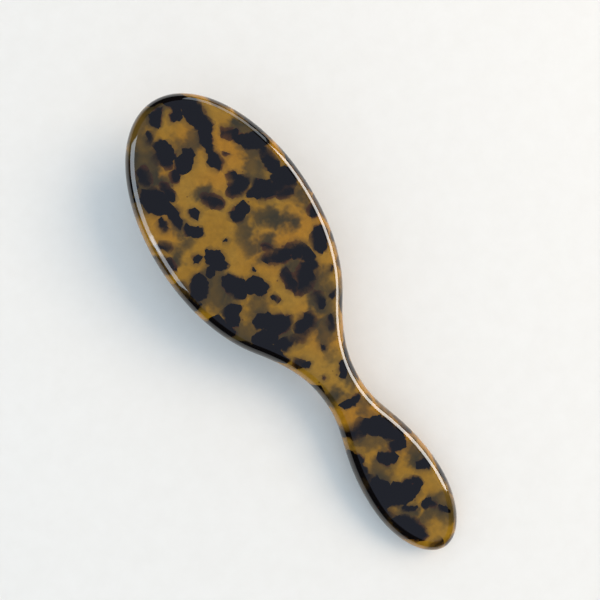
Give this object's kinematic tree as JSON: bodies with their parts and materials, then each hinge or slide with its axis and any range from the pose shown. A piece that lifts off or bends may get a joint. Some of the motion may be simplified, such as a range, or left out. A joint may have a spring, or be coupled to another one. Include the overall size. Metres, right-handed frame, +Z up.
{
  "type": "vanity hairbrush",
  "caption": "Oval cushion hairbrush in tortoiseshell acetate, with ball-tipped pins and bristle tufts in a sprung rubber cushion, resting bristles down.",
  "frame": {"origin": "centre of the footprint box, on the surface that the brush rests on", "axes": "+Z up from that surface; +Y from the handle towards the head; +X across the brush. The brush rests bristles down on its pins and the end of its handle, so its smooth back leans 7.54 degrees, with the head end higher"},
  "size_m": [0.072, 0.228, 0.0406],
  "materials": {
    "acetate_back": "polished tortoiseshell cellulose acetate",
    "acetate_front": "polished tortoiseshell cellulose acetate",
    "ring_nylon": "moulded, satin",
    "cushion_rubber": "matte natural rubber",
    "backing_cotton": "plain-woven cotton",
    "pin_nylon": "smooth translucent nylon",
    "bristle": "boar bristle"
  },
  "bodies": {
    "brush_body": {"back_shell": "acetate_back", "front_frame": "acetate_front", "clamp_ring": "ring_nylon", "cushion": "cushion_rubber"},
    "pin_carrier": {"backing_cloth": "backing_cotton"},
    "row_1": {"pins_row_1": "pin_nylon", "tufts_row_1": "bristle"},
    "row_2": {"pins_row_2": "pin_nylon", "tufts_row_2": "bristle"},
    "row_3": {"pins_row_3": "pin_nylon", "tufts_row_3": "bristle"},
    "row_4": {"pins_row_4": "pin_nylon", "tufts_row_4": "bristle"},
    "row_5": {"pins_row_5": "pin_nylon", "tufts_row_5": "bristle"},
    "row_6": {"pins_row_6": "pin_nylon", "tufts_row_6": "bristle"},
    "row_7": {"pins_row_7": "pin_nylon", "tufts_row_7": "bristle"},
    "row_8": {"pins_row_8": "pin_nylon", "tufts_row_8": "bristle"},
    "row_9": {"pins_row_9": "pin_nylon", "tufts_row_9": "bristle"}
  },
  "joints": [
    {"name": "cushion_press", "type": "slide", "parent": "brush_body", "child": "pin_carrier", "axis": [0, -0.1313, 0.9913], "range_m": [0, 0.004], "stiffness_N_per_m": 1000, "springref_m": -0.002, "deforming": ["cushion"]},
    {"name": "row_1_lean", "type": "hinge", "parent": "pin_carrier", "child": "row_1", "pos_m": [-0.0216, 0.05347, 0.02024], "axis": [0, 0.9913, 0.1313], "range_deg": [-8, 8], "stiffness_Nm_per_rad": 0.05, "deforming": ["cushion"]},
    {"name": "row_2_lean", "type": "hinge", "parent": "pin_carrier", "child": "row_2", "pos_m": [-0.0162, 0.05358, 0.01945], "axis": [0, 0.9913, 0.1313], "range_deg": [-8, 8], "stiffness_Nm_per_rad": 0.05, "deforming": ["cushion"]},
    {"name": "row_3_lean", "type": "hinge", "parent": "pin_carrier", "child": "row_3", "pos_m": [-0.0108, 0.05365, 0.01889], "axis": [0, 0.9913, 0.1313], "range_deg": [-8, 8], "stiffness_Nm_per_rad": 0.05, "deforming": ["cushion"]},
    {"name": "row_4_lean", "type": "hinge", "parent": "pin_carrier", "child": "row_4", "pos_m": [-0.0054, 0.05369, 0.01856], "axis": [0, 0.9913, 0.1313], "range_deg": [-8, 8], "stiffness_Nm_per_rad": 0.05, "deforming": ["cushion"]},
    {"name": "row_5_lean", "type": "hinge", "parent": "pin_carrier", "child": "row_5", "pos_m": [0, 0.05371, 0.01845], "axis": [0, 0.9913, 0.1313], "range_deg": [-8, 8], "stiffness_Nm_per_rad": 0.05, "deforming": ["cushion"]},
    {"name": "row_6_lean", "type": "hinge", "parent": "pin_carrier", "child": "row_6", "pos_m": [0.0054, 0.05369, 0.01856], "axis": [0, 0.9913, 0.1313], "range_deg": [-8, 8], "stiffness_Nm_per_rad": 0.05, "deforming": ["cushion"]},
    {"name": "row_7_lean", "type": "hinge", "parent": "pin_carrier", "child": "row_7", "pos_m": [0.0108, 0.05365, 0.01889], "axis": [0, 0.9913, 0.1313], "range_deg": [-8, 8], "stiffness_Nm_per_rad": 0.05, "deforming": ["cushion"]},
    {"name": "row_8_lean", "type": "hinge", "parent": "pin_carrier", "child": "row_8", "pos_m": [0.0162, 0.05358, 0.01945], "axis": [0, 0.9913, 0.1313], "range_deg": [-8, 8], "stiffness_Nm_per_rad": 0.05, "deforming": ["cushion"]},
    {"name": "row_9_lean", "type": "hinge", "parent": "pin_carrier", "child": "row_9", "pos_m": [0.0216, 0.05347, 0.02024], "axis": [0, 0.9913, 0.1313], "range_deg": [-8, 8], "stiffness_Nm_per_rad": 0.05, "deforming": ["cushion"]}
  ]
}
